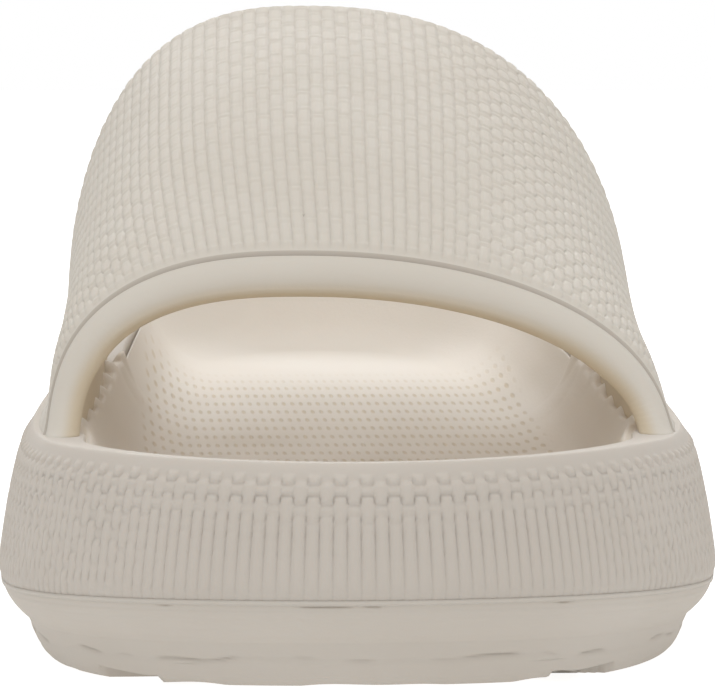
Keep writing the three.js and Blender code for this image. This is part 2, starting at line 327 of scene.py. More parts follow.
def makeCamera():
    yaw, pitch = math.radians(view["yaw"]), math.radians(view["pitch"])
    forward = Vector((math.sin(yaw) * math.cos(pitch), math.cos(yaw) * math.cos(pitch), -math.sin(pitch)))
    deselectAll()
    bpy.ops.object.camera_add(location=view["eye"] * mm, rotation=forward.to_track_quat("-Z", "Y").to_euler())
    camera = bpy.context.object
    camera.name = "frontCamera"
    camera.data.lens = view["lens"]
    camera.data.sensor_width = view["sensor"]
    camera.data.clip_start = 0.02
    camera.data.clip_end = 50
    bpy.context.scene.camera = camera


makeCamera()
print("camera")


# Strap: the broad upper, one hollow arch of foam, open at the toe and behind
strap = {
    "height": 102.6, "front": 60.0, "reach": 97.0, "rake": 12.0, "wall": 6.0, "footWall": 4.8,
    "wallInset": 9.0, "belly": 2.4, "footStep": 0.6, "flareHeight": 12.0, "footSink": 0.5,
    "innerSink": 4.0, "innerTuck": 1.6, "frontFlare": 5.0, "frontFlareHeight": 7.0,
    "lipWidth": 3.4, "lipDrop": 0.35, "noseRound": 2.4, "grooveWidth": 0.38, "grooveDepth": 1.1,
    "flashRise": 0.22, "flashRow": 6, "hemWidth": 1.7, "ribs": 80, "gather": 0.25,
    "samples": (0.0, 0.12, 0.36, 0.64, 0.88),
    "outerRows": 200, "hemRows": 8, "innerRows": 18, "lipRows": 16,
    "period": 5.8, "fadeFrom": 3.0, "fadeOver": 9.0, "knitStart": 1.6, "knitEnd": 0.7, "hemPlain": 0.6,
    "crownShare": 0.46, "sideFrom": 0.10, "sideOver": 0.14, "weaves": (0.5, 1.1), "grooves": (0.95, 0.6),
    "bellyTop": 0.4, "lipFace": 0.8, "flareEnd": 8.0, "flareEase": 0.4, "flashReach": 0.32, "flashOver": 0.1,
    "warmFrom": 0.35, "warmOver": 0.45,
}
# The groove behind the lip: place in groove widths from the lip, depth between the lip's step (0) and the
# groove's floor (1), and how dark the painted shade in it is
lipGroove = [
    dict(place=-0.4, depth=0.0, crease=0.0), dict(place=0.0, depth=0.055, crease=0.4),
    dict(place=0.4, depth=1.0, crease=1.0), dict(place=1.2, depth=1.0, crease=1.0),
]
strapSections = [
    dict(at=0.00, crown=0.578, lean=-0.088, full=2.10, inner=0.37, wall=0.78, belly=0.0),
    dict(at=0.30, crown=0.733, lean=-0.075, full=2.20, inner=0.28, wall=1.00, belly=0.2),
    dict(at=0.60, crown=0.862, lean=-0.062, full=2.28, inner=0.20, wall=0.92, belly=0.6),
    dict(at=1.00, crown=1.000, lean=-0.052, full=2.40, inner=0.15, wall=0.46, belly=1.0),
]


def strapArch(along):
    # What one place along the strap has: its foot, crown, curve and flare
    read = {name: readTable(strapSections, name, along) for name in strapSections[0] if name != "at"}
    footY = toeEnd + strap["front"] + along * strap["reach"]
    share = shareAt(footY)
    inset = strap["wallInset"] * read["wall"]
    return {
        "along": along, "footY": footY, "footZ": rimAt(share), "full": read["full"], "inner": read["inner"],
        "crownX": sandal["ballWidth"] * read["lean"], "middle": middleAt(share),
        "half": halfWidthAt(share) - inset, "rise": strap["height"] * read["crown"] - rimAt(share),
        "belly": strap["belly"] * read["belly"],
        "flare": max(0, inset - shoulderAt(share) - strap["footStep"]),
    }


def archPoint(arch, turn):
    # Point of the arch at a turn from the big toe side (0) over the crown to the little toe side (1)
    side = -1 if turn < 0.5 else 1
    power = 2 / (arch["full"] + (arch["inner"] if side < 0 else 0))
    out = abs(math.cos(math.pi * turn)) ** power
    up = max(0.0, math.sin(math.pi * turn)) ** power
    belly = arch["belly"] * (1 - max(0, 1 - up / strap["bellyTop"]) ** 2)
    wallX = arch["middle"] + side * (arch["half"] + belly)
    x = mix(arch["crownX"], wallX, out)
    return Vector((x, arch["footY"] + strap["rake"] * up, arch["footZ"] + up * arch["rise"]))


def archSkirt(arch, point):
    # How far the strap's foot spreads out to run into the shoulder of the sole, as a share of its flare
    low = clamp(1 - (point.z - arch["footZ"]) / strap["flareHeight"])
    return 1 - math.sqrt(1 - low ** 2)


def strapShares():
    # Where the columns stand over the strap, as shares: at the samples of each rib, and at the last foot
    samples = strap["samples"]
    return [(rib + sample) / strap["ribs"] for rib in range(strap["ribs"]) for sample in samples] + [1.0]


def archTurns(arch, fine=500):
    # Turns for the columns: even by length along the edge behind, gathered towards the feet in front
    turns = [(1 - math.cos(math.pi * step / fine)) / 2 for step in range(fine + 1)]
    places = []
    for turn in turns:
        point = archPoint(arch, turn)
        point.x += (-1 if turn < 0.5 else 1) * arch["flare"] * archSkirt(arch, point)
        places.append(point)
    lengths = [0.0]
    for before, after in zip(places, places[1:]):
        lengths.append(lengths[-1] + (after - before).length)
    gather = strap["gather"] * (1 - arch["along"])
    chosen = []
    low = 0
    for share in strapShares():
        target = lengths[-1] * (share - gather * math.sin(2 * math.pi * share) / (2 * math.pi))
        while low < fine - 1 and lengths[low + 1] < target:
            low += 1
        part = clamp((target - lengths[low]) / max(lengths[low + 1] - lengths[low], 1e-9))
        chosen.append(mix(turns[low], turns[low + 1], part))
    return chosen


def strapRows():
    # The strap's section as rows: (distance from the front edge, depth as a share of the wall, share of the
    # knit, bump, painted groove shade)
    reach, hem, lip, nose = strap["reach"], strap["hemWidth"], strap["lipWidth"], strap["noseRound"]
    groove, drop = strap["grooveWidth"], strap["lipDrop"] / strap["wall"]
    start = lip + 2 * groove
    rows = []
    for row in range(strap["outerRows"] + 1):
        distance = mix(start, reach - hem, row / strap["outerRows"])
        toHem = reach - hem - strap["hemPlain"] - distance
        fade = smooth((distance - start) / strap["knitStart"]) * smooth(toHem / strap["knitEnd"])
        rows.append((distance, 0.0, fade, 0.0, 0.0))
    for row in range(1, strap["hemRows"]):
        angle = math.pi * row / strap["hemRows"]
        rows.append((reach - hem + hem * math.sin(angle), (1 - math.cos(angle)) / 2, 0.0, 0.0, 0.0))
    for row in range(strap["innerRows"] + 1):
        rows.append((mix(reach - hem, nose, row / strap["innerRows"]), 1.0, 0.0, 0.0, 0.0))
    for row in range(1, strap["lipRows"]):
        angle = math.pi * row / strap["lipRows"]
        outward = angle > math.pi / 2
        distance = (lip * strap["lipFace"] if outward else nose) * (1 - math.sin(angle))
        depth = mix(0.5, drop if outward else 1.0, abs(math.cos(angle)))
        rows.append((distance, depth, 0.0, strap["flashRise"] if row == strap["flashRow"] else 0.0, 0.0))
    deep = (strap["lipDrop"] + strap["grooveDepth"]) / strap["wall"]
    for row in lipGroove:
        rows.append((lip + groove * row["place"], mix(drop, deep, row["depth"]), 0.0, 0.0, row["crease"]))
    # Just past the groove the outer face keeps a little painted shade
    rows.append((lip + groove * 1.7, 0.0, 0.0, 0.0, 0.4))
    return rows


def makeStrap():
    rows = strapRows()
    shares = strapShares()
    last = len(shares) - 1
    piece = planeGrid("strapSkin", last, len(rows))
    places, reliefs, creases, warmths = [], [], [], []
    for distance, depth, knitShare, bump, crease in rows:
        arch = strapArch(distance / strap["reach"])
        turns = archTurns(arch)
        outer = [archPoint(arch, turn) for turn in turns]
        rowPlaces, rowReliefs = [], []
        for column, point in enumerate(outer):
            side = -1 if turns[column] < 0.5 else 1
            run = outer[min(column + 1, last)] - outer[max(column - 1, 0)]
            inward = Vector((run.z, 0, -run.x)).normalized()
            if column in (0, last):
                inward = Vector((-side, 0, 0))
            lift = point.z - arch["footZ"]
            wall = mix(strap["footWall"], strap["wall"], min(1, 2 * lift / arch["rise"]))
            place = point + inward * wall * depth
            place.x += side * arch["flare"] * archSkirt(arch, point) * (1 - depth)
            spread = 1 - math.sqrt(1 - clamp(1 - lift / strap["frontFlareHeight"]) ** 2)
            ahead = clamp(1 - distance / strap["flareEnd"]) * (1 - strap["flareEase"] * depth)
            place.y -= strap["frontFlare"] * spread * ahead
            if column in (0, last):
                # The foot goes into the midsole, deeper on its inner side, where the two run into one
                place.z -= mix(strap["footSink"], strap["innerSink"], depth)
                place.x += side * strap["innerTuck"] * depth
            rowPlaces.append(place + originShift)
            fade = smooth((lift - strap["fadeFrom"]) / strap["fadeOver"])
            fromCrown = abs(shares[column] - strap["crownShare"])
            relief = bump * smooth((strap["flashReach"] - fromCrown) / strap["flashOver"])
            if knitShare * fade > 0:
                beside = smooth((fromCrown - strap["sideFrom"]) / strap["sideOver"])
                weave, groove = mix(*strap["weaves"], beside), mix(*strap["grooves"], beside)
                relief += knitRelief(shares[column] * strap["ribs"], distance, strap["period"],
                                     knitShare * fade, weave, groove)
            rowReliefs.append(relief)
        places.append(rowPlaces)
        reliefs.append(rowReliefs)
        # Painted shade, dark along the lip's groove
        creases.append([crease] * (last + 1))
        # Painted shade, warm like bounce light, deepening towards the strap's inner side
        warmths.append([smooth((depth - strap["warmFrom"]) / strap["warmOver"])] * (last + 1))
    for kept in (places, reliefs, creases, warmths):
        kept.append(kept[0])
    bendGrid(piece, places, relief=reliefs, crease=creases, warmth=warmths)
    closeSeams(piece, fillEnds=True)
    raiseRelief(piece)
    return piece


strapSkin = makeStrap()
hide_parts("strap")
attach(strapSkin, "root")
print("strap")


# Midsole: the thick rounded body, knitted all round its side, with a smooth rim round the dish
midsole = {
    "ribs": 338, "samples": (0.0, 0.13, 0.5, 0.87), "wallRows": 46, "rowGather": 0.85, "footInset": 0.06,
    "rimEase": 0.9, "easeRows": 5, "bedThickness": 4.0, "seamLine": 0.15,
    "period": 5.6, "wallStretch": 1.12, "knitTop": 0.93, "knitOver": 0.05, "knitFoot": 0.03,
    "startStep": 0.05,
    "sideFrom": 26.0, "sideOver": 16.0, "weaves": (0.35, 1.0), "weaveEnd": 9.0, "weaveOver": 4.0,
    "lowStart": 8.0, "lowOver": 10.0, "lowShare": 0.42, "sideShare": 0.5,
}


def sideInset(rise):
    lean = sandal["sideLean"]
    return lean * rise + (1 - lean) * (1 - math.sqrt(max(0, 1 - rise * rise)))


def midsoleRows():
    # Rows from the underside over the wall and the rim into the dish: (inset, height, rise, spread)
    rows = [(lambda share: midsole["footInset"] * shoulderAt(share), seamAt, None, spread)
            for spread in (0.0, 0.5, 0.9)]
    for row in range(midsole["wallRows"] + 1):
        rise = math.sin(math.pi / 2 * (row / midsole["wallRows"]) ** midsole["rowGather"])

        def inset(share, rise=rise):
            # A small round edge under the wall makes the seam's line
            edge = max(0, 1 - rise * (rimAt(share) - seamAt(share)) / midsole["seamLine"])
            return shoulderAt(share) * sideInset(rise) + midsole["seamLine"] * edge ** 2

        rows.append((inset, lambda share, rise=rise: mix(seamAt(share), rimAt(share), rise), rise, 1.0))
    ease = midsole["rimEase"]
    for row in range(1, midsole["easeRows"] + 1):
        angle = math.pi / 2 * row / midsole["easeRows"]
        rows.append((lambda share, angle=angle: edgeAt(share) - ease * (1 - math.sin(angle)),
                     lambda share, angle=angle: rimAt(share) - ease * (1 - math.cos(angle)), None, 1.0))
    rows.append((edgeAt, lambda share: mix(rimAt(share), bedAt(share), 0.5), None, 1.0))
    pocket = midsole["bedThickness"] + sandal["clearance"]
    for spread in (1.0, 0.6, 0.25, 0.0):
        rows.append((edgeAt, lambda share: bedAt(share) - pocket, None, spread))
    return rows


def midsoleRelief(index, point, rise):
    # The knit on the wall at a column's index, its point on the outline and its rise on the wall: it is most
    # woven near the rim and at the sides, and fades towards the seam in front
    share = shareAt(point.y)
    samples = midsole["samples"]
    column = index // len(samples) + samples[index % len(samples)]
    top = midsole["knitTop"] - (midsole["startStep"] if int(column) % 2 else 0)
    over = midsole["knitOver"]
    fade = smooth((top - rise) / over) * smooth((rise - midsole["knitFoot"]) / over)
    if fade <= 0:
        return 0.0
    length = (rimAt(share) - seamAt(share)) * (midsole["knitTop"] - rise) * midsole["wallStretch"]
    beside = smooth((abs(point.x) - midsole["sideFrom"]) / midsole["sideOver"])
    woven = max(beside, smooth((midsole["weaveEnd"] - length) / midsole["weaveOver"]))
    strength = mix(1, midsole["lowShare"] + midsole["sideShare"] * beside,
                   smooth((length - midsole["lowStart"]) / midsole["lowOver"]))
    weave = mix(*midsole["weaves"], woven) * strength
    return knitRelief(column, length, midsole["period"], fade, weave, strength)


def makeMidsole():
    rows = midsoleRows()
    samples = midsole["samples"]
    count = midsole["ribs"] * len(samples)
    stations = outlineStations(midsole["ribs"], samples)
    piece = planeGrid("midsoleBody", count, len(rows) - 1)
    places, reliefs = [], []
    for inset, height, rise, spread in rows:
        ring = [Vector((place.x, place.y, height(shareAt(place.y)))) + originShift
                for place in ringPlaces(stations, inset, spread)]
        relief = [0.0] * count
        if rise is not None:
            relief = [midsoleRelief(index, stations[index][0], rise) for index in range(count)]
        places.append(ring + [ring[0]])
        reliefs.append(relief + [relief[0]])
    bendGrid(piece, places, relief=reliefs)
    closeSeams(piece)
    raiseRelief(piece)
    return piece


midsoleBody = makeMidsole()
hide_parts("midsole")
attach(midsoleBody, "root")
print("midsole")


# Outsole: tucks in below the seam to a step, then stands on lugs parted by channels
outsole = {
    "tuck": 6.2, "stepShare": 0.5, "columns": 676, "wallRows": 34, "lugRows": 20, "lugRound": 1.2,
    "bottomRows": 40, "rowGather": 1.2, "lugInset": 0.93, "seamKeep": 0.5,
    "treadDepth": 4.2, "channelWidth": 4.4, "channelFlare": 1.4,
    "lineRise": 0.22, "lineWidth": 0.03,
    "slitDrop": 0.10, "slitWidth": 0.035, "slitDepth": 0.3, "slitEnd": 1.2,
    "dotCount": 338, "dotDrops": (0.22, 0.40, 0.58), "dotWidth": 0.05, "dotDepth": 0.22,
    "foldDrop": 1.45, "foldSway": 0.09, "foldWidth": 0.035, "foldDepth": 0.30, "foldStep": 0.20,
    "lugWave": 0.5, "waveFrom": 1.6, "waveEnd": 0.16, "waveOver": 0.04,
    "slits": ((-8.5, 3.8), (-2.0, 1.6), (-31.0, 1.2), (26.0, 1.5)),
    "foldWaves": ((17, 0.6, 0.1), (31, 0.4, 0.45), (53, 0.25, 0.2)),
    "breakWaves": ((27, 0.7, 0.4), (61, 0.5, 0.15), (11, 0.5, 0.8)),
    "lugWaves": ((19, 0.5, 0.2), (33, 0.35, 0.6)),
}
# Side from the seam (0) down to the step (1), as shares of the tuck
tuckSections = [
    dict(at=0.00, inset=0.03), dict(at=0.30, inset=0.10), dict(at=0.58, inset=0.24),
    dict(at=0.82, inset=0.43), dict(at=1.00, inset=0.62),
]
# Channels from one point to another: along is a share of the length, across of half the ball width
treadChannels = [
    dict(along=0.11, across=-0.48, alongEnd=0.50, acrossEnd=-0.56, wide=1.0, deep=1.5),
    dict(along=0.11, across=0.47, alongEnd=0.50, acrossEnd=0.58, wide=1.0, deep=1.5),
    dict(along=0.060, across=-1.10, alongEnd=0.060, acrossEnd=-0.55, wide=6.0, deep=0.7),
    dict(along=0.060, across=0.43, alongEnd=0.060, acrossEnd=1.10, wide=6.0, deep=0.7),
    dict(along=0.220, across=-1.10, alongEnd=0.240, acrossEnd=1.10, wide=1.0, deep=1.0),
    dict(along=0.315, across=-1.10, alongEnd=0.335, acrossEnd=1.10, wide=1.0, deep=1.0),
    dict(along=0.415, across=-1.10, alongEnd=0.430, acrossEnd=1.10, wide=1.0, deep=1.0),
    dict(along=0.705, across=-1.10, alongEnd=0.690, acrossEnd=1.10, wide=1.0, deep=1.0),
    dict(along=0.800, across=-1.10, alongEnd=0.780, acrossEnd=1.10, wide=1.0, deep=1.0),
    dict(along=0.895, across=-1.10, alongEnd=0.880, acrossEnd=1.10, wide=1.0, deep=1.0),
]


def treadPoint(along, across):
    return Vector((across * sandal["ballWidth"] / 2, toeEnd + along * sandal["length"]))


def channelHeight(x, y):
    # How high the channels reach at a place on the underside
    highest = 0.0
    for channel in treadChannels:
        start = treadPoint(channel["along"], channel["across"])
        end = treadPoint(channel["alongEnd"], channel["acrossEnd"])
        run = (end - start).normalized()
        offset = Vector((x, y)) - start
        along = offset.dot(run)
        if 0 <= along <= (end - start).length:
            aside = abs(offset.x * run.y - offset.y * run.x)
            half = outsole["channelWidth"] * channel["wide"] / 2
            depth = outsole["treadDepth"] * channel["deep"]
            beyond = max(0, aside - half) / outsole["channelFlare"]
            highest = max(highest, depth - beyond * (depth + outsole["treadDepth"]))
    return highest


def outsoleRows():
    # Rows from the lid down the side, over the soft corner and round the lugs: (inset, height, spread, drop)
    def corner(share):
        return mix(groundAt(share), seamAt(share), outsole["stepShare"])

    def lugSide(share, drop):
        return mix(corner(share), groundAt(share) + bend, drop)

    tuck, bend = outsole["tuck"], outsole["lugRound"]
    foot = tuck * outsole["lugInset"]
    rows = [(tuckSections[0]["inset"] * tuck, seamAt, spread, None) for spread in (0.0, 0.5, 0.94)]
    for row in range(outsole["wallRows"] + 1):
        drop = (row / outsole["wallRows"]) ** outsole["rowGather"]
        inset = readTable(tuckSections, "inset", drop) * tuck
        rows.append((inset, lambda share, drop=drop: mix(seamAt(share), corner(share), drop), 1.0, drop))
    for row in range(1, outsole["lugRows"] + 1):
        drop = row / outsole["lugRows"]
        rows.append((mix(tuck * tuckSections[-1]["inset"], foot, drop),
                     lambda share, drop=drop: lugSide(share, drop), 1.0, 1 + drop))
    for angle in (math.pi / 6, math.pi / 3, math.pi / 2):
        rows.append((foot + bend * (1 - math.cos(angle)),
                     lambda share, angle=angle: groundAt(share) + bend * (1 - math.sin(angle)), 1.0, None))
    for row in range(1, outsole["bottomRows"] + 1):
        rows.append((foot + bend, groundAt, 1 - row / outsole["bottomRows"], None))
    return rows


def waver(place, waves):
    # A slow uneven wave round the outline, between about -1 and 1
    return sum(size * math.sin(2 * math.pi * (turns * place + start)) for turns, size, start in waves)


def bell(offset, width):
    return math.exp(-(offset / width) ** 2)


def outsoleRelief(place, drop, spot):
    # Relief and painted crease shade on the side at a share round the outline, a drop and a spot: the seam's
    # fine raised line, short slits beside it, faint knit dots that fade downwards, and creases above the
    # lugs; the slits and creases also get painted shade
    relief = outsole["lineRise"] * bell(drop, outsole["lineWidth"])
    slit = 0.0
    if spot.y < 0:
        slit = max(smooth((half - abs(spot.x - middle)) / outsole["slitEnd"])
                   for middle, half in outsole["slits"])
        slit *= bell(drop - outsole["slitDrop"], outsole["slitWidth"])
    relief -= outsole["slitDepth"] * slit
    dots = 0.5 - 0.5 * math.cos(2 * math.pi * place * outsole["dotCount"])
    dots *= 0.4 + 0.6 * abs(spot.x) / (sandal["ballWidth"] / 2)
    for level in outsole["dotDrops"]:
        relief -= outsole["dotDepth"] * (1 - level) * dots * bell(drop - level, outsole["dotWidth"])
    offset = drop - outsole["foldDrop"] - outsole["foldSway"] * waver(place, outsole["foldWaves"])
    fold = smooth(waver(place, outsole["breakWaves"]) + 0.25) * bell(offset, outsole["foldWidth"])
    relief += outsole["foldStep"] * smooth(offset / outsole["foldStep"]) - outsole["foldDepth"] * fold
    # The second value is painted shade, darkening the slits and the creases
    return relief, max(0.8 * slit, 0.55 * fold)


def lugWave(place, share):
    # The lower edge wavers a little at the toe, where it is clear of the ground
    atToe = smooth((outsole["waveEnd"] - share) / outsole["waveOver"])
    return outsole["lugWave"] * max(0, waver(place, outsole["lugWaves"])) * atToe


def makeOutsole():
    rows = outsoleRows()
    count = outsole["columns"]
    stations = outlineStations(count, (0.0,))
    piece = planeGrid("outsoleTread", count, len(rows) - 1)
    places, reliefs, creases = [], [], []
    for number, (inset, height, spread, drop) in enumerate(rows):
        ring, rowReliefs, rowCreases = [], [], []
        for index, place in enumerate(ringPlaces(stations, inset, spread)):
            share = shareAt(place.y)
            level = height(share)
            if number > 3:
                level = min(max(level, channelHeight(place.x, place.y)), seamAt(share) - outsole["seamKeep"])
                if drop is None or drop > outsole["waveFrom"]:
                    level += lugWave(index / count, share) * spread
            ring.append(Vector((place.x, place.y, level)) + originShift)
            relief, crease = (0.0, 0.0) if drop is None else outsoleRelief(index / count, drop, place)
            rowReliefs.append(relief)
            rowCreases.append(crease)
        places.append(ring + [ring[0]])
        reliefs.append(rowReliefs + [rowReliefs[0]])
        creases.append(rowCreases + [rowCreases[0]])
    bendGrid(piece, places, relief=reliefs, crease=creases)
    closeSeams(piece)
    raiseRelief(piece)
    return piece


outsoleTread = makeOutsole()
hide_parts("outsole")
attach(outsoleTread, "root")
print("outsole")


# Footbed: a soft slab in the dish, cupped at its edge, with short grip ribs along the strap's inner wall
footbed = {
    "columns": 900, "cupRows": 30, "middleRows": 36, "rowGather": 1.3, "thickness": 4.0, "overlap": 2.6,
    "edgeStart": 0.3, "cupWidth": 14.0, "edgeDrop": 0.8, "rimDrop": 0.2, "strapRise": 0.6,
    "ribCount": 7, "ribPitch": 14.0, "ribStart": 74.0, "ribInset": 0.4, "ribReach": 2.4, "ribWidth": 5.0,
    "ribRise": 1.5, "flushFrom": 0.19, "strapEnd": 0.57, "blend": 0.05,
}
# How the edge falls to the bed: an inset from the edge in millimetres, and the height as a share of the cup
cupSections = [
    dict(at=0.0, lift=1.00), dict(at=1.8, lift=0.66), dict(at=5.0, lift=0.29), dict(at=9.5, lift=0.07),
    dict(at=14.0, lift=0.0), dict(at=20.0, lift=0.0),
]


def flushAt(share):
    # Behind the toe the pad runs up level with the rim
    return smooth((share - footbed["flushFrom"]) / footbed["blend"])


def underStrap(share):
    # Where the pad's edge runs over the rim to the strap's inner wall
    return flushAt(share) * smooth((footbed["strapEnd"] - share) / footbed["blend"])


def ribLift(share, inset):
    # Height that the grip ribs add at a share of the length and an inset from the footbed's edge
    position = (share * sandal["length"] - footbed["ribStart"]) / footbed["ribPitch"]
    nearest = clamp(round(position), 0, footbed["ribCount"] - 1)
    along = (position - nearest) * footbed["ribPitch"] / footbed["ribWidth"]
    across = (inset - footbed["ribInset"]) / footbed["ribReach"]
    inside = 1 - along ** 2 - across ** 2
    return footbed["ribRise"] * inside if inside > 0 else 0.0


def footbedRows():
    # Rows from the base up the edge and over the cup to the middle: (inset, height, spread)
    start, width = footbed["edgeStart"], footbed["cupWidth"]

    def inner(extra):
        return lambda share: edgeAt(share) + sandal["clearance"] + extra

    def edge(extra):
        return lambda share: inner(extra)(share) - footbed["overlap"] * underStrap(share)

    def base(lift):
        return lambda share: bedAt(share) - footbed["thickness"] + lift

    def dish(extra, drop=0.0):
        # The cup rises right up to the rim and the strap's inner wall behind the toe
        def height(share):
            under = underStrap(share)
            lift = readTable(cupSections, "lift", max(0, extra - footbed["overlap"] * under))
            full = rimAt(share) - bedAt(share) - footbed["rimDrop"] + footbed["strapRise"] * under
            rise = mix(cupAt(share), full, flushAt(share))
            return bedAt(share) + rise * lift + ribLift(share, extra) - drop

        return height

    rows = [(inner(1), base(0), spread) for spread in (0.0, 0.5, 1.0)] + [(inner(0.4), base(1), 1.0)]
    rows.append((inner(0.2), lambda share: bedAt(share) + cupAt(share) * 0.5, 1.0))
    rows.append((edge(0), dish(start, footbed["edgeDrop"]), 1.0))
    for row in range(footbed["cupRows"]):
        extra = mix(start, width, (row / (footbed["cupRows"] - 1)) ** footbed["rowGather"])
        rows.append((edge(extra), dish(extra), 1.0))
    for row in range(1, footbed["middleRows"] + 1):
        rows.append((edge(width), bedAt, 1 - row / footbed["middleRows"]))
    return rows


def makeFootbed():
    rows = footbedRows()
    count = footbed["columns"]
    stations = outlineStations(count, (0.0,))
    piece = planeGrid("footbedPad", count, len(rows) - 1)
    places = []
    for inset, height, spread in rows:
        ring = [Vector((place.x, place.y, height(shareAt(place.y)))) + originShift
                for place in ringPlaces(stations, inset, spread)]
        places.append(ring + [ring[0]])
    bendGrid(piece, places)
    closeSeams(piece)
    return piece


footbedPad = makeFootbed()
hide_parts("footbed")
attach(footbedPad, "root")
print("footbed")


# Materials: matte moulded foam in a warm off-white
def addNode(tree, kind, **settings):
    node = tree.nodes.new(kind)
    for name, value in settings.items():
        setattr(node, name, value)
    return node


def mathNode(tree, operation, first, second=None):
    node = addNode(tree, "ShaderNodeMath", operation=operation)
    for socket, value in zip(node.inputs, (first, second)):
        if value is None:
            continue
        if isinstance(value, (int, float)):
            socket.default_value = value
        else:
            tree.links.new(value, socket)
    return node.outputs[0]


def newGroup(name, inputs, outputs):
    group = bpy.data.node_groups.new(name, "ShaderNodeTree")
    for socketName, kind in inputs:
        group.interface.new_socket(name=socketName, in_out="INPUT", socket_type=kind)
    for socketName, kind in outputs:
        group.interface.new_socket(name=socketName, in_out="OUTPUT", socket_type=kind)
    return group, addNode(group, "NodeGroupInput"), addNode(group, "NodeGroupOutput")


def noise(tree, vector, scale, detail=3.0, roughness=0.55):
    node = addNode(tree, "ShaderNodeTexNoise")
    tree.links.new(vector, node.inputs["Vector"])
    node.inputs["Detail"].default_value = detail
    node.inputs["Roughness"].default_value = roughness
    if isinstance(scale, (int, float)):
        node.inputs["Scale"].default_value = scale
    else:
        tree.links.new(scale, node.inputs["Scale"])
    return node.outputs["Fac"]


def ramp(tree, value, low, high):
    node = addNode(tree, "ShaderNodeMapRange", interpolation_type="SMOOTHSTEP")
    tree.links.new(value, node.inputs["Value"])
    node.inputs["From Min"].default_value = low
    node.inputs["From Max"].default_value = high
    return node.outputs["Result"]


def makeFoamGroup():
    # Fine skin of moulded foam: its grain as a height, wide soft clouds, and rare pinholes
    group, given, result = newGroup(
        "foamSkin",
        [("Vector", "NodeSocketVector"), ("Grain Scale", "NodeSocketFloat"),
         ("Cloud Scale", "NodeSocketFloat")],
        [("Grain", "NodeSocketFloat"), ("Clouds", "NodeSocketFloat"), ("Pinholes", "NodeSocketFloat")])
    fine = noise(group, given.outputs["Vector"], given.outputs["Grain Scale"], detail=4.0)
    clouds = noise(group, given.outputs["Vector"], given.outputs["Cloud Scale"], detail=2.0)
    cells = addNode(group, "ShaderNodeTexVoronoi")
    group.links.new(given.outputs["Vector"], cells.inputs["Vector"])
    cells.inputs["Scale"].default_value = 120
    near = ramp(group, cells.outputs["Distance"], 0.045, 0.02)
    split = addNode(group, "ShaderNodeSeparateColor")
    group.links.new(cells.outputs["Color"], split.inputs[0])
    rare = mathNode(group, "GREATER_THAN", split.outputs[0], 0.93)
    group.links.new(fine, result.inputs["Grain"])
    group.links.new(ramp(group, clouds, 0.32, 0.68), result.inputs["Clouds"])
    group.links.new(mathNode(group, "MULTIPLY", near, rare), result.inputs["Pinholes"])
    return group


def makeDimpleGroup():
    # Small dimples in lengthwise rows over the forefoot, fading behind it and towards the edge: a height for
    # the bump, and a hollow mask that the material uses for painted shade
    group, given, result = newGroup(
        "footbedDimples",
        [("Vector", "NodeSocketVector"), ("Across Pitch", "NodeSocketFloat"),
         ("Along Pitch", "NodeSocketFloat"), ("Fade From", "NodeSocketFloat"),
         ("Fade To", "NodeSocketFloat"), ("Half Width", "NodeSocketFloat")],
        [("Height", "NodeSocketFloat"), ("Hollow", "NodeSocketFloat")])
    place = addNode(group, "ShaderNodeSeparateXYZ")
    group.links.new(given.outputs["Vector"], place.inputs[0])
    x, y = place.outputs["X"], place.outputs["Y"]
    slanted = mathNode(group, "ADD", x, mathNode(group, "MULTIPLY", y, 0.03))
    waves = []
    for along, pitch in ((slanted, "Across Pitch"), (y, "Along Pitch")):
        count = mathNode(group, "DIVIDE", along, given.outputs[pitch])
        turn = mathNode(group, "MULTIPLY", count, 2 * math.pi)
        waves.append(mathNode(group, "COSINE", turn))
    cell = ramp(group, mathNode(group, "ADD", waves[0], waves[1]), 0.5, 1.9)
    behind = addNode(group, "ShaderNodeMapRange", interpolation_type="SMOOTHSTEP")
    group.links.new(y, behind.inputs["Value"])
    group.links.new(given.outputs["Fade To"], behind.inputs["From Min"])
    group.links.new(given.outputs["Fade From"], behind.inputs["From Max"])
    beside = addNode(group, "ShaderNodeMapRange", interpolation_type="SMOOTHSTEP")
    group.links.new(mathNode(group, "ABSOLUTE", x), beside.inputs["Value"])
    group.links.new(given.outputs["Half Width"], beside.inputs["From Min"])
    within = mathNode(group, "SUBTRACT", given.outputs["Half Width"], 0.002)
    group.links.new(within, beside.inputs["From Max"])
    region = mathNode(group, "MULTIPLY", behind.outputs["Result"], beside.outputs["Result"])
    masked = mathNode(group, "MULTIPLY", cell, region)
    group.links.new(mathNode(group, "MULTIPLY", masked, -1.0), result.inputs["Height"])
    group.links.new(masked, result.inputs["Hollow"])
    return group


foamGroup = makeFoamGroup()
dimpleGroup = makeDimpleGroup()


def mixColor(tree, factor, first, second):
    node = addNode(tree, "ShaderNodeMix", data_type="RGBA")
    tree.links.new(factor, node.inputs[0])
    for socket, value in ((node.inputs[6], first), (node.inputs[7], second)):
        if isinstance(value, tuple):
            socket.default_value = (*value, 1)
        else:
            tree.links.new(value, socket)
    return node.outputs[2]


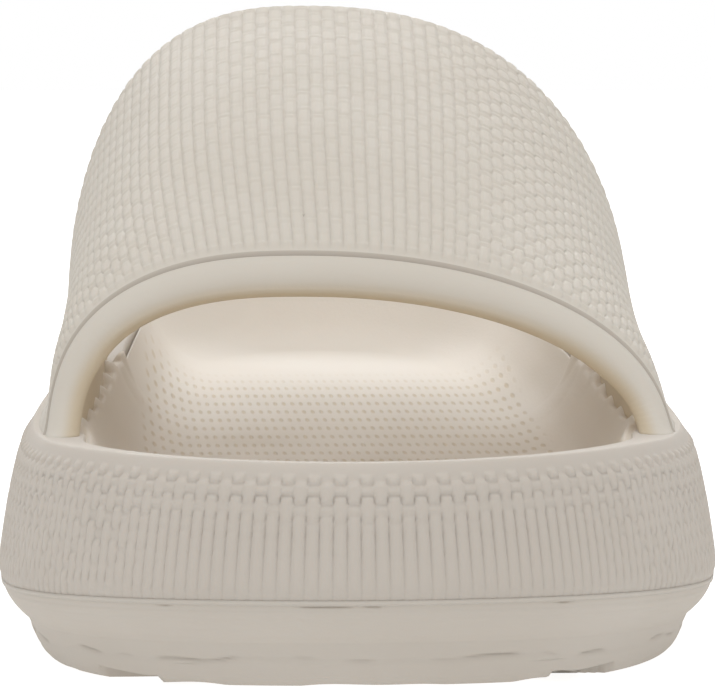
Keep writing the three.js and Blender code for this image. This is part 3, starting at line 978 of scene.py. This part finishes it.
def foamMaterial(name, look):
    # One foam finish: clouded colours, with painted shade from the piece's masks (warm on the strap's inner
    # side, dark in grooves, slits and creases), dimples in the bump with painted shade in them, and pinholes
    material = bpy.data.materials.new(name)
    material.use_nodes = True
    tree = material.node_tree
    tree.nodes.clear()
    coords = addNode(tree, "ShaderNodeTexCoord").outputs["Object"]
    skin = addNode(tree, "ShaderNodeGroup", node_tree=foamGroup)
    tree.links.new(coords, skin.inputs["Vector"])
    skin.inputs["Grain Scale"].default_value = look["grainScale"]
    skin.inputs["Cloud Scale"].default_value = look["cloudScale"]
    faint = mathNode(tree, "MULTIPLY", skin.outputs["Clouds"], look["cloudShare"])
    color = mixColor(tree, faint, look["base"], look["clouded"])
    height = mathNode(tree, "MULTIPLY", skin.outputs["Grain"], look["grainHeight"])
    # Painted shade from the piece's masks: warm on the strap's inner side, dark in grooves, slits and creases
    for attribute, tint, share in (("warmth", "warm", "warmShare"), ("crease", "creased", "creaseShare")):
        if look[share]:
            mask = addNode(tree, "ShaderNodeAttribute", attribute_name=attribute)
            amount = mathNode(tree, "MULTIPLY", mask.outputs["Fac"], look[share])
            color = mixColor(tree, amount, color, look[tint])
    if look["dimples"]:
        dimples = addNode(tree, "ShaderNodeGroup", node_tree=dimpleGroup)
        tree.links.new(coords, dimples.inputs["Vector"])
        for socket, value in look["dimples"].items():
            dimples.inputs[socket].default_value = value
        # The dimples' hollows are darkened with painted shade
        deep = mathNode(tree, "MULTIPLY", dimples.outputs["Hollow"], look["dimpleShare"])
        color = mixColor(tree, deep, color, look["warm"])
        sunk = mathNode(tree, "MULTIPLY", dimples.outputs["Height"], look["dimpleDepth"])
        height = mathNode(tree, "ADD", height, sunk)
    specks = mathNode(tree, "MULTIPLY", skin.outputs["Pinholes"], look["speckShare"])
    color = mixColor(tree, specks, color, look["speck"])
    bump = addNode(tree, "ShaderNodeBump")
    bump.inputs["Distance"].default_value = 1.0
    bump.inputs["Strength"].default_value = look["bumpStrength"]
    tree.links.new(height, bump.inputs["Height"])
    rough = addNode(tree, "ShaderNodeMapRange")
    tree.links.new(skin.outputs["Clouds"], rough.inputs["Value"])
    rough.inputs["To Min"].default_value = look["roughness"] - 0.04
    rough.inputs["To Max"].default_value = look["roughness"] + 0.05
    shader = addNode(tree, "ShaderNodeBsdfPrincipled")
    tree.links.new(color, shader.inputs["Base Color"])
    tree.links.new(rough.outputs["Result"], shader.inputs["Roughness"])
    tree.links.new(bump.outputs["Normal"], shader.inputs["Normal"])
    shader.inputs["Specular IOR Level"].default_value = look["specular"]
    shader.inputs["Subsurface Weight"].default_value = look["soften"]
    shader.inputs["Subsurface Radius"].default_value = (1.0, 0.7, 0.5)
    shader.inputs["Subsurface Scale"].default_value = 0.002
    output = addNode(tree, "ShaderNodeOutputMaterial")
    tree.links.new(shader.outputs["BSDF"], output.inputs["Surface"])
    return material


# Besides the specks, the two darker colours below are painted shade: a dark one for grooves, slits and
# creases, and a warm one for the strap's inner side and the footbed's dimples
foamLook = {
    "base": (0.700, 0.648, 0.570), "clouded": (0.665, 0.610, 0.530), "creased": (0.33, 0.27, 0.22),
    "warm": (0.64, 0.53, 0.37), "speck": (0.22, 0.18, 0.14), "grainScale": 1500.0, "cloudScale": 28.0,
    "cloudShare": 0.5, "grainHeight": 0.00005, "bumpStrength": 0.6, "roughness": 0.6, "specular": 0.3,
    "soften": 0.1, "warmShare": 0.0, "creaseShare": 0.0, "speckShare": 0.3, "dimples": None,
}


def dress(piece, name, **changes):
    piece.data.materials.clear()
    piece.data.materials.append(foamMaterial(name, {**foamLook, **changes}))


# The strap gets painted shade: warm on its inner side and dark along the lip's groove
dress(strapSkin, "strapFoam", warmShare=0.8, creaseShare=0.75)
# The midsole's foam has a darker base than the same foam elsewhere: painted shade, darkening its knitted wall
# and its rim
dress(midsoleBody, "midsoleFoam", base=(0.655, 0.596, 0.528), clouded=(0.615, 0.556, 0.488))
# The outsole gets painted shade in its slits and creases
dress(outsoleTread, "outsoleRubber", base=(0.690, 0.632, 0.560), clouded=(0.645, 0.585, 0.510),
      roughness=0.66, creaseShare=0.75)
# The footbed's foam has a lighter base than the same foam elsewhere: painted light for its shaded dish
dress(footbedPad, "footbedFoam", base=(0.82, 0.755, 0.672), clouded=(0.80, 0.73, 0.645), bumpStrength=1.0,
      # Painted shade darkens the dimples
      dimpleShare=0.75, dimpleDepth=0.00012,
      dimples={"Across Pitch": 0.0016, "Along Pitch": 0.0095, "Fade From": 0.045, "Fade To": 0.085,
               "Half Width": 0.036})
print("materials")


# Floor and light: a plain white floor in a bright white room
studio = {
    "floorSize": 40.0, "floorColor": 0.60, "floorGlow": 0.32, "floorShown": 0.85, "sky": 1.0, "ambient": 0.60,
}


def shownAndUnseen(tree, unseen, shown):
    # One strength for what the camera sees and another for what lights the sandal
    path = addNode(tree, "ShaderNodeLightPath")
    strength = addNode(tree, "ShaderNodeMapRange")
    tree.links.new(path.outputs["Is Camera Ray"], strength.inputs["Value"])
    strength.inputs["To Min"].default_value = unseen
    strength.inputs["To Max"].default_value = shown
    return strength.outputs["Result"]


def makeFloor():
    deselectAll()
    bpy.ops.mesh.primitive_plane_add(size=studio["floorSize"], location=(0, 0, -0.0002))
    floor = bpy.context.object
    floor.name = "studioFloor"
    material = bpy.data.materials.new("floorWhite")
    material.use_nodes = True
    tree = material.node_tree
    shader = tree.nodes["Principled BSDF"]
    shader.inputs["Base Color"].default_value = (*[studio["floorColor"]] * 3, 1)
    shader.inputs["Roughness"].default_value = 0.9
    shader.inputs["Emission Color"].default_value = (1, 1, 1, 1)
    glow = shownAndUnseen(tree, studio["floorGlow"], studio["floorShown"])
    tree.links.new(glow, shader.inputs["Emission Strength"])
    floor.data.materials.append(material)


def makeRoom():
    world = bpy.data.worlds.new("studioRoom")
    world.use_nodes = True
    tree = world.node_tree
    tree.nodes.clear()
    background = addNode(tree, "ShaderNodeBackground")
    background.inputs["Color"].default_value = (1, 1, 1, 1)
    tree.links.new(shownAndUnseen(tree, studio["ambient"], studio["sky"]), background.inputs["Strength"])
    output = addNode(tree, "ShaderNodeOutputWorld")
    tree.links.new(background.outputs["Background"], output.inputs["Surface"])
    bpy.context.scene.world = world


def makeLight(name, place, target, size, power, color=(1, 1, 1)):
    deselectAll()
    toward = (Vector(target) - Vector(place)).to_track_quat("-Z", "Y").to_euler()
    bpy.ops.object.light_add(type="AREA", location=place, rotation=toward)
    lamp = bpy.context.object
    lamp.name = name
    lamp.data.shape = "RECTANGLE"
    lamp.data.size, lamp.data.size_y = size
    lamp.data.energy = power
    lamp.data.color = color


makeFloor()
makeRoom()
makeLight("topSoftbox", (0.0, 0.0, 1.2), (0, 0, 0.03), (1.0, 1.0), 1.6)
makeLight("frontSoftbox", (-0.05, -0.50, 1.15), (0, 0, 0.04), (0.9, 0.6), 3.2)
makeLight("rearSoftbox", (0.0, 0.95, 0.62), (0, 0.0, 0.03), (0.9, 0.5), 3.5)
bpy.context.scene.view_settings.view_transform = "Standard"
print("room")
